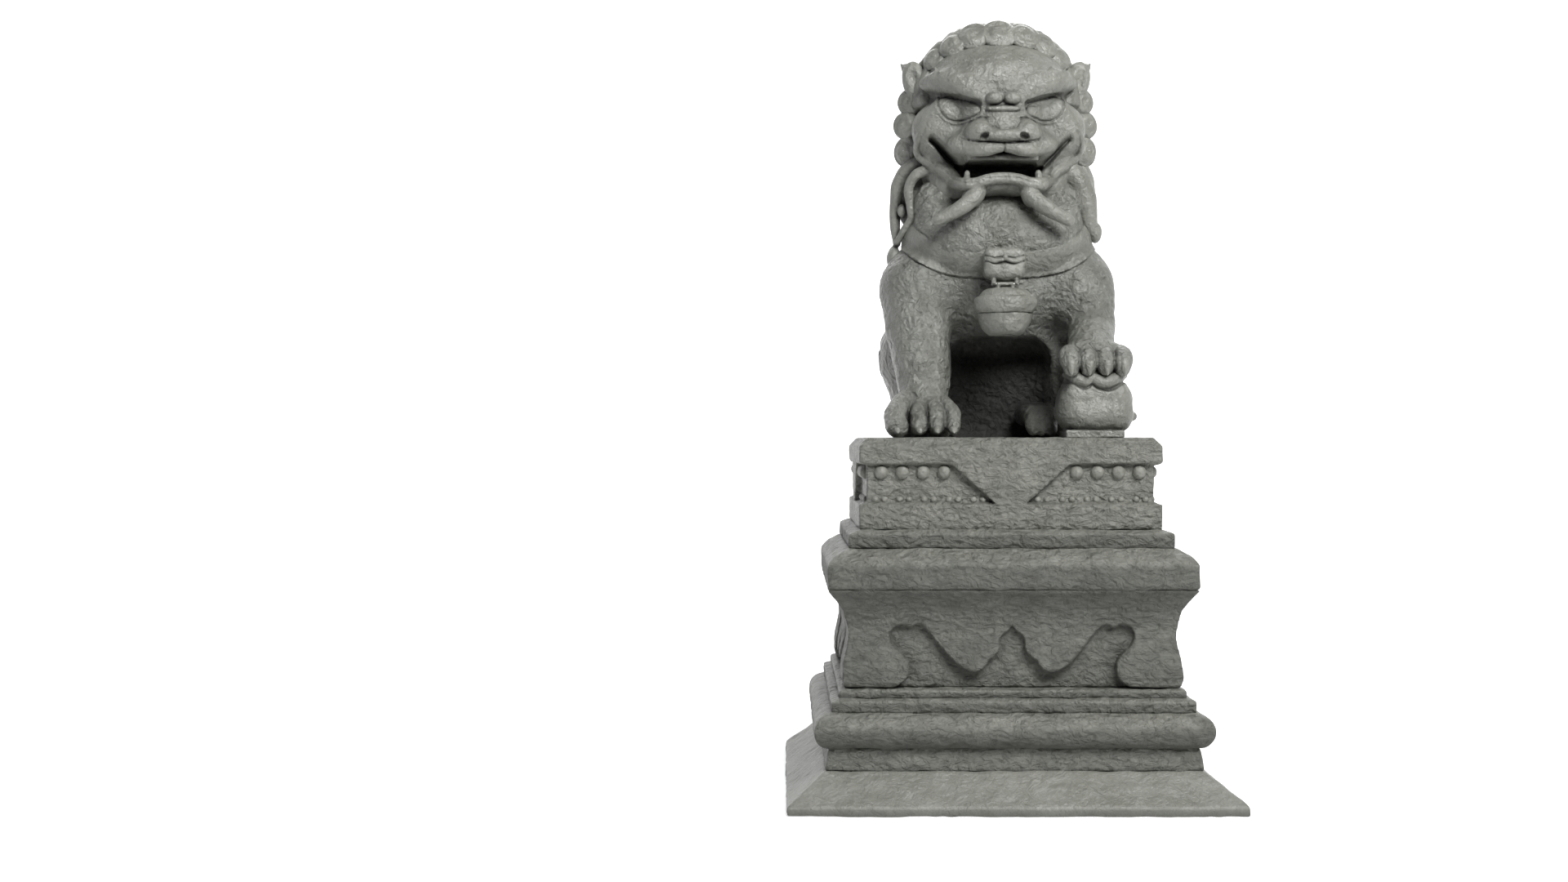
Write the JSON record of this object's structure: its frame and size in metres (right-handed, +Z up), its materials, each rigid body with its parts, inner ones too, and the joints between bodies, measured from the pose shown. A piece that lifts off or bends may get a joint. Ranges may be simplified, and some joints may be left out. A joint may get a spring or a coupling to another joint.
{
  "type": "foo dog statue",
  "caption": "Seated guardian lion carved in dark stone, one paw on a cub, with a hanging bell at its chest, on a stepped and waisted pedestal.",
  "frame": {"origin": "middle of the pedestal's underside", "axes": "+Z up, the lion faces -Y, +X to its left"},
  "size_m": [1, 1.057, 1.796],
  "materials": {
    "lion_stone": "rubbed and hewn dark grey-green stone, semi-gloss",
    "pedestal_stone": "hewn dark grey-green stone",
    "steel": "plain stainless steel bar"
  },
  "bodies": {
    "statue": {"badge": "lion_stone", "base_skirt": "pedestal_stone", "beard_tuft_left": "lion_stone", "beard_tuft_right": "lion_stone", "bell_pin": "steel", "cap_slab": "pedestal_stone", "claws_left": "lion_stone", "claws_right": "lion_stone", "cloth_flap_back": "pedestal_stone", "cloth_flap_front": "pedestal_stone", "cloth_flap_left": "pedestal_stone", "cloth_flap_right": "pedestal_stone", "collar": "lion_stone", "cornice_slab": "pedestal_stone", "course_dowels": "steel", "cub": "lion_stone", "cub_slab": "lion_stone", "ear_left": "lion_stone", "ear_right": "lion_stone", "foreleg_left": "lion_stone", "foreleg_right": "lion_stone", "frieze_block": "pedestal_stone", "haunch_left": "lion_stone", "haunch_right": "lion_stone", "head": "lion_stone", "hind_foot_left": "lion_stone", "hind_foot_right": "lion_stone", "large_beads": "pedestal_stone", "lion_dowels": "steel", "lower_canines": "lion_stone", "lower_jaw": "lion_stone", "lower_narrow_step": "pedestal_stone", "lower_wide_step": "pedestal_stone", "mane_curls": "lion_stone", "paw_left": "lion_stone", "paw_right": "lion_stone", "plinth_neck": "pedestal_stone", "ribbon_left": "lion_stone", "ribbon_right": "lion_stone", "small_beads": "pedestal_stone", "tail": "lion_stone", "torus_course": "pedestal_stone", "trunk": "lion_stone", "upper_block": "pedestal_stone", "upper_teeth": "lion_stone", "upper_wide_step": "pedestal_stone", "waist_core": "pedestal_stone", "waist_facing_back": "pedestal_stone", "waist_facing_front": "pedestal_stone", "waist_facing_left": "pedestal_stone", "waist_facing_right": "pedestal_stone"},
    "bell": {"bell_bail": "lion_stone", "bell_cap": "lion_stone", "bell_cup": "lion_stone"}
  },
  "joints": [
    {"name": "bell_swing", "type": "hinge", "parent": "statue", "child": "bell", "pos_m": [0, -0.238, 1.168], "axis": [1, 0, 0], "range_deg": [-40, 3]}
  ]
}
